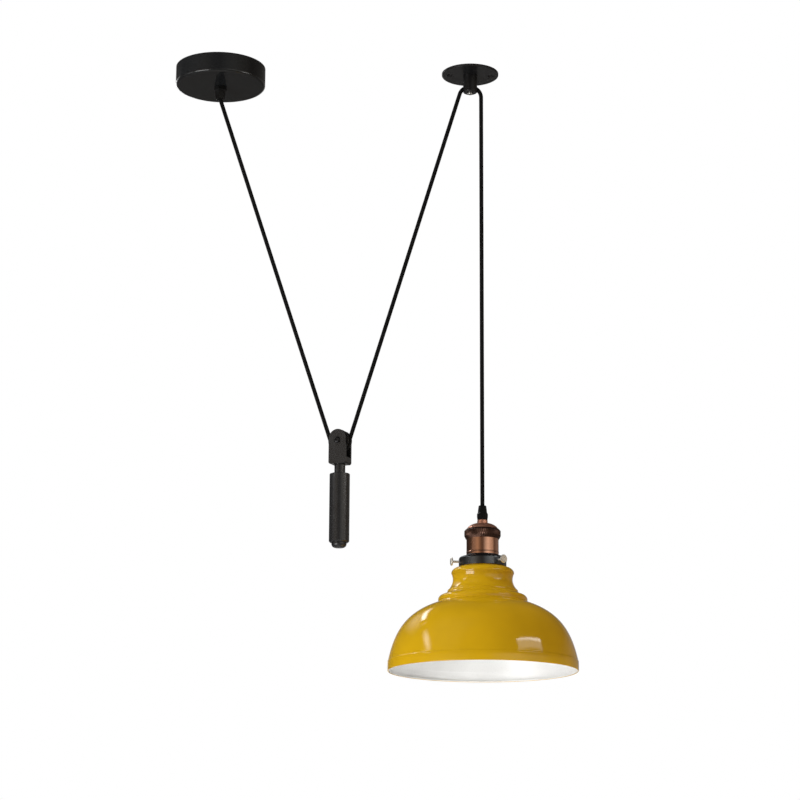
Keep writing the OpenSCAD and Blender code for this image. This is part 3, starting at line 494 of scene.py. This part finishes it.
def make_shade(outer_mat, inner_mat):
    """Spun shade: gloss enamel outside and over the rolled rim, white inside."""
    neck_r, shoulder_r, waist_r, upper_r, lower_r = 28.6, 41.8, 39.7, 47.0, 59.3
    rim_r, band_r, wall = 126.0, 125.5, 1.0
    neck_top, neck_foot, shoulder, waist = -686.8, -697.9, -706.5, -714.8
    upper_step, lower_step, dome_top, band, rim = -730.9, -742.1, -746.2, -823.5, -836.4
    neck_fillet, shoulder_out, shoulder_up = 1.4, 10.4, 7.8
    upper_round, lower_round, fillet, lip_round = 3.0, 6.4, 2.5, 0.8
    waist_steps, waist_stride = 18, 1.0185
    top_lean, foot_lean = 18.4, 12.3
    top_pull, foot_pull = 45.0, 38.7
    fillet_end = 270 - top_lean - 6

    waist_part = []
    for i in range(1, waist_steps + 1):
        z = shoulder - i * waist_stride
        s = (waist - z) / (waist - shoulder)
        waist_part.append((waist_r + (shoulder_r - waist_r) * s * s, z))

    top_cos, top_sin = math.cos(math.radians(top_lean)), math.sin(math.radians(top_lean))
    foot_cos, foot_sin = math.cos(math.radians(foot_lean)), math.sin(math.radians(foot_lean))
    dome_x = lower_r + fillet - fillet * top_sin
    dome = bezier([(dome_x, dome_top),
                   (dome_x + top_pull * top_cos, dome_top - top_pull * top_sin),
                   (band_r - foot_pull * foot_sin, band + foot_pull * foot_cos),
                   (band_r, band)], steps=64)

    outside = ([(neck_r, neck_top), (neck_r, (neck_top + neck_foot) / 2),
                (neck_r, neck_foot)]
               + arc(neck_r + neck_fillet, neck_foot, neck_fillet, 180, 270, steps=6)
               + ellipse(shoulder_r - shoulder_out, shoulder, shoulder_out, shoulder_up,
                         80, 0, steps=16)
               + waist_part
               + arc(upper_r - upper_round, upper_step, upper_round, 70, 0, steps=8)
               + [(upper_r + 0.8, upper_step - 2)]
               + arc(lower_r - lower_round, lower_step, lower_round, 82, 0, steps=12)
               + arc(lower_r + fillet, dome_top + fillet * top_cos, fillet,
                     180, fillet_end, steps=7)
               + dome)
    lip = ([(rim_r - 0.25, band - 0.15), (rim_r, band - 0.6), (rim_r, (band + rim) / 2)]
           + arc(rim_r - lip_round, rim + lip_round, lip_round, 0, -90, steps=6))
    hem = ([(rim_r - inwards, rim + up)
            for inwards, up in ((1.5, 0), (1.9, 0.4), (1.9, 2.1), (1.6, 2.4), (wall, 2.6))]
           + [(rim_r - wall, band - 1)])
    profile = outside + lip + hem + inset(outside, wall)[::-1]
    painted = len(outside) + len(lip) + 1
    slots = [0 if i < painted else 1 for i in range(len(profile))]
    piece = lathe("shade_spun", profile, LAMP_X, segments=256, sharp=50.0, slots=slots)
    dress(piece, (outer_mat, inner_mat), "lamp", "shade")


def make_knurled_ring(mat):
    """Ring with straight knurls round its widest band."""
    top, bottom, r, bore_r, wide_bore_r = -646.7, -660.2, 24.3, 21.15, 21.6
    knurls, knurl_depth, plain_r, full_r = 64, 0.55, 22.6, 24.0
    segments_per_knurl = 6

    def knurled(q, a):
        depth = max(0.0, min(1.0, (q - plain_r) / (full_r - plain_r)))
        wave = abs(((a * knurls / (2 * math.pi)) % 1.0) * 2 - 1)
        return q - knurl_depth * depth * wave

    profile = [(bore_r, top), (21.8, top), (r - 0.35, top - 2.2), (r, top - 2.7),
               (r, (top + bottom + 1) / 2), (r, bottom + 4.2), (r - 0.35, bottom + 3.6),
               (r - 1.95, bottom + 0.2), (r - 2.3, bottom), (wide_bore_r, bottom),
               (wide_bore_r, top - 3), (bore_r, top - 3)]
    piece = lathe("ring_knurled", profile, LAMP_X, segments=knurls * segments_per_knurl,
                  sharp=32.0, radius=knurled)
    dress(piece, (mat,), "lamp", "knurled_ring")


# ---------------------------------------------------------------- CAD nodes
def coat(mats):
    """Gives each CAD node that is shown its material."""
    finishes = {
        "rose": ("rose_cover",),
        "plate": ("ceiling_plate", "plate_boss"),
        "weight": ("weight_cylinder", "weight_end_cap", "stem", "yoke"),
        "black_steel": ("rose_side_screws", "axle_bolt", "axle_nut"),
        "zinc": ("rose_bracket", "rose_grip_nut", "boss_fixing_screw", "cord_clamp_screw",
                 "axle_washers"),
        "sheave": ("sheave",),
        "bronze": ("sheave_bush",),
        "grip": ("rose_cord_grip", "lamp_cord_grip"),
        "block": ("terminal_block",),
        "brass": ("terminal_screws", "screw_shell", "centre_contact",
                  "socket_terminal_screws"),
        "cord": ("cord_tail_in_rose", "cord_tail_in_lamp"),
        "cap_copper": ("holder_cap",),
        "copper": ("holder_body",),
        "gunmetal": ("shade_gallery",),
        "phenolic": ("socket_insulator", "gallery_ring"),
        "nickel": ("thumb_screw_1", "thumb_screw_2", "thumb_screw_3"),
    }
    for key, names in finishes.items():
        for name in names:
            mesh = nodes[name].data
            mesh.materials.clear()
            mesh.materials.append(mats[key])


# ---------------------------------------------------------------- lights
def direction(azimuth, elevation):
    """Unit vector; azimuth in degrees from -Y towards +X, as seen from the pendant."""
    a, e = math.radians(azimuth), math.radians(elevation)
    return Vector((math.sin(a) * math.cos(e), -math.cos(a) * math.cos(e), math.sin(e)))


def soften(light):
    """Makes a light fade out towards its edges, like a lamp behind cloth."""
    full_at = 0.16
    light.use_nodes = True
    tree = light.node_tree
    where = add(tree, "ShaderNodeSeparateXYZ")
    tree.links.new(add(tree, "ShaderNodeNewGeometry").outputs["Parametric"],
                   where.inputs["Vector"])
    across, along = [math_node(tree, "PINGPONG", where.outputs[axis], 0.5) for axis in "XY"]
    fade = remap(tree, math_node(tree, "MULTIPLY", across, along), 0, full_at, 0, 1)
    tree.links.new(fade, tree.nodes["Emission"].inputs["Strength"])


def panel(name, azimuth, elevation, width, height, level, distance=2.6,
          aim=(0.33, 0, -0.70), roll=0.0, glossy=True, colour=(1, 1, 1), hazy=False):
    """Soft box aimed at a point of the pendant, turned by roll about its own axis. level is
    how bright it looks, 1 being white. One that isn't glossy shows in no reflection."""
    data = bpy.data.lights.new(name, "AREA")
    data.shape = "RECTANGLE"
    data.size = width
    data.size_y = height
    data.energy = level * math.pi * width * height
    data.color = colour
    if hazy:
        soften(data)
    lamp = bpy.data.objects.new(name, data)
    out = direction(azimuth, elevation)
    lamp.location = Vector(aim) + out * distance
    lamp.rotation_euler = (out.to_track_quat("Z", "Y")
                           @ Quaternion((0, 0, 1), math.radians(roll))).to_euler()
    lamp.visible_camera = False
    lamp.visible_glossy = glossy
    bpy.context.scene.collection.objects.link(lamp)


def make_lights():
    """Soft boxes. Those that show as windows in the shade's enamel stand close to it, so
    that the rose and the weight don't mirror them too."""
    left_side = (0.28, -0.07, -0.78)
    left_rim = (0.285, -0.092, -0.808)
    right_side = (0.413, -0.11, -0.813)
    shade_mouth = (0.363, 0, -0.83)
    panel("left_strip", azimuth=-141, elevation=43, width=0.95, height=0.14, level=7.0,
          distance=1.3, aim=left_side, roll=10, hazy=True)
    panel("left_haze", azimuth=-140, elevation=36, width=1.10, height=0.50, level=0.8,
          distance=1.3, aim=left_side, roll=12, hazy=True)
    panel("left_flag", azimuth=-87, elevation=33, width=0.62, height=0.17, level=4.6,
          distance=1.1, aim=left_rim, roll=-32, hazy=True)
    panel("right_window", azimuth=61, elevation=33.5, width=0.63, height=0.16, level=2.3,
          distance=1.1, aim=right_side, roll=-8)
    panel("right_window_top", azimuth=62, elevation=36.5, width=0.63, height=0.045,
          level=5.5, distance=1.09, aim=right_side, roll=-11)
    panel("low_window", azimuth=-54, elevation=-18, width=1.45, height=1.15, level=6.5)
    panel("key", azimuth=-62, elevation=48, width=2.0, height=2.0, level=3.7,
          glossy=False)
    panel("fill", azimuth=5, elevation=-72, width=0.9, height=0.7, level=6.6,
          distance=1.25, aim=shade_mouth, glossy=False)
    panel("back_fill", azimuth=172, elevation=28, width=2.2, height=2.2, level=2.2,
          glossy=False, colour=(1.0, 0.93, 0.82))
    panel("warm_fill", azimuth=70, elevation=12, width=1.5, height=1.5, level=2.0,
          glossy=False, colour=(1.0, 0.72, 0.42))


# ---------------------------------------------------------------- surroundings
def wall_ramp(tree, azimuth):
    """Colour of the studio's walls by azimuth in radians, counted as the lights' is."""
    ramp = add(tree, "ShaderNodeValToRGB")
    tree.links.new(remap(tree, azimuth, -math.pi, math.pi, 0, 1), ramp.inputs["Fac"])
    walls = [(-180, (0.25, 0.25, 0.25)), (-150, (0.03, 0.03, 0.03)),
             (-110, (0.06, 0.05, 0.04)), (-65, (0.28, 0.23, 0.18)),
             (-40, (0.48, 0.38, 0.27)), (-16, (0.15, 0.11, 0.08)), (0, (0.12, 0.09, 0.07)),
             (12, (0.50, 0.48, 0.44)), (34, (1.00, 0.95, 0.86)), (56, (0.66, 0.60, 0.52)),
             (72, (0.52, 0.46, 0.38)), (86, (0.12, 0.09, 0.07)), (110, (0.22, 0.20, 0.18)),
             (180, (0.25, 0.25, 0.25))]
    marks = ramp.color_ramp.elements
    while len(marks) > 1:
        marks.remove(marks[-1])
    for i, (angle, colour) in enumerate(walls):
        spot = (angle + 180) / 360
        mark = marks[0] if i == 0 else marks.new(spot)
        mark.position = spot
        mark.color = (*colour, 1)
    return ramp.outputs["Color"]


def direct_view(tree, rays):
    """1 for what the camera sees itself or through something clear, 0 otherwise."""
    return math_node(tree, "MAXIMUM", rays.outputs["Is Camera Ray"],
                     rays.outputs["Is Transmission Ray"])


def make_world():
    """A white backdrop, wherever the camera looks, and in reflections only straight behind
    the pendant. What lights the pendant is a dim studio: pale in front to the right, warm
    in front to the left, dark behind to the left and overhead."""
    overhead_dark, underfoot_dim = (0.045, 0.042, 0.04), (0.24, 0.225, 0.21)
    overhead_from, overhead_to = 0.26, 0.40
    underfoot_to, underfoot_from = -0.30, -0.12
    backdrop_from, backdrop_to = 0.965, 0.99
    skirting_from, skirting_to = -0.20, -0.10
    world = bpy.data.worlds.new("studio")
    bpy.context.scene.world = world
    world.use_nodes = True
    tree = world.node_tree
    tree.nodes.clear()
    split = add(tree, "ShaderNodeSeparateXYZ")
    tree.links.new(add(tree, "ShaderNodeTexCoord").outputs["Generated"],
                   split.inputs["Vector"])
    x, y, z = [split.outputs[axis] for axis in "XYZ"]
    walls = wall_ramp(tree, math_node(tree, "ARCTAN2", x,
                                      math_node(tree, "MULTIPLY", y, -1.0)))
    overhead = remap(tree, z, overhead_from, overhead_to, 0, 1)
    underfoot = remap(tree, z, underfoot_to, underfoot_from, 1, 0)
    room = tint(tree, overhead, walls, overhead_dark)
    room = tint(tree, underfoot, room, underfoot_dim)
    lit = add(tree, "ShaderNodeBackground", Strength=1.0)
    tree.links.new(room, lit.inputs["Color"])
    backdrop = add(tree, "ShaderNodeBackground", Color=(1, 1, 1, 1), Strength=1.0)
    rays = add(tree, "ShaderNodeLightPath")
    behind = math_node(tree, "MULTIPLY",
                       remap(tree, y, backdrop_from, backdrop_to, 0, 1),
                       remap(tree, z, skirting_from, skirting_to, 0, 1))
    mirrored = math_node(tree, "MULTIPLY", rays.outputs["Is Glossy Ray"], behind)
    white = math_node(tree, "MAXIMUM", direct_view(tree, rays), mirrored)
    mix = add(tree, "ShaderNodeMixShader")
    tree.links.new(white, mix.inputs["Fac"])
    tree.links.new(lit.outputs["Background"], mix.inputs[1])
    tree.links.new(backdrop.outputs["Background"], mix.inputs[2])
    tree.links.new(mix.outputs["Shader"],
                   add(tree, "ShaderNodeOutputWorld").inputs["Surface"])


def make_floor():
    """Pale floor well below the lamp, out of the camera's view, that keeps its shadow and
    fades into the white far out. The paleness that the camera sees lights nothing."""
    half, z = 14.0, -3.2
    pale, white = (0.76, 0.755, 0.745), (1.0, 1.0, 1.0)
    fade_from, fade_to = 3.5, 10.0
    mesh = bpy.data.meshes.new("floor")
    corners = [(-half, -half, z), (half, -half, z), (half, half, z), (-half, half, z)]
    mesh.from_pydata(corners, [], [(0, 1, 2, 3)])
    floor = link("floor", mesh)
    mat, tree, bsdf = shader("floor_pale", (0.78, 0.77, 0.75), 0.7)
    away = add(tree, "ShaderNodeVectorMath", operation="LENGTH")
    tree.links.new(place(tree), away.inputs[0])
    fade = remap(tree, away.outputs["Value"], fade_from, fade_to, 0, 1)
    glow = add(tree, "ShaderNodeEmission")
    tree.links.new(tint(tree, fade, pale, white), glow.inputs["Color"])
    tree.links.new(direct_view(tree, add(tree, "ShaderNodeLightPath")),
                   glow.inputs["Strength"])
    both = add(tree, "ShaderNodeAddShader")
    tree.links.new(bsdf.outputs["BSDF"], both.inputs[0])
    tree.links.new(glow.outputs["Emission"], both.inputs[1])
    tree.links.new(both.outputs["Shader"], tree.nodes["Material Output"].inputs["Surface"])
    mesh.materials.append(mat)


# ---------------------------------------------------------------- the whole
make_camera()
mats = make_materials()
make_cords(mats["cord"])
make_shade(mats["mustard"], mats["white"])
make_knurled_ring(mats["dark_copper"])
coat(mats)
make_world()
make_lights()
make_floor()
bpy.context.scene.view_settings.view_transform = "Standard"
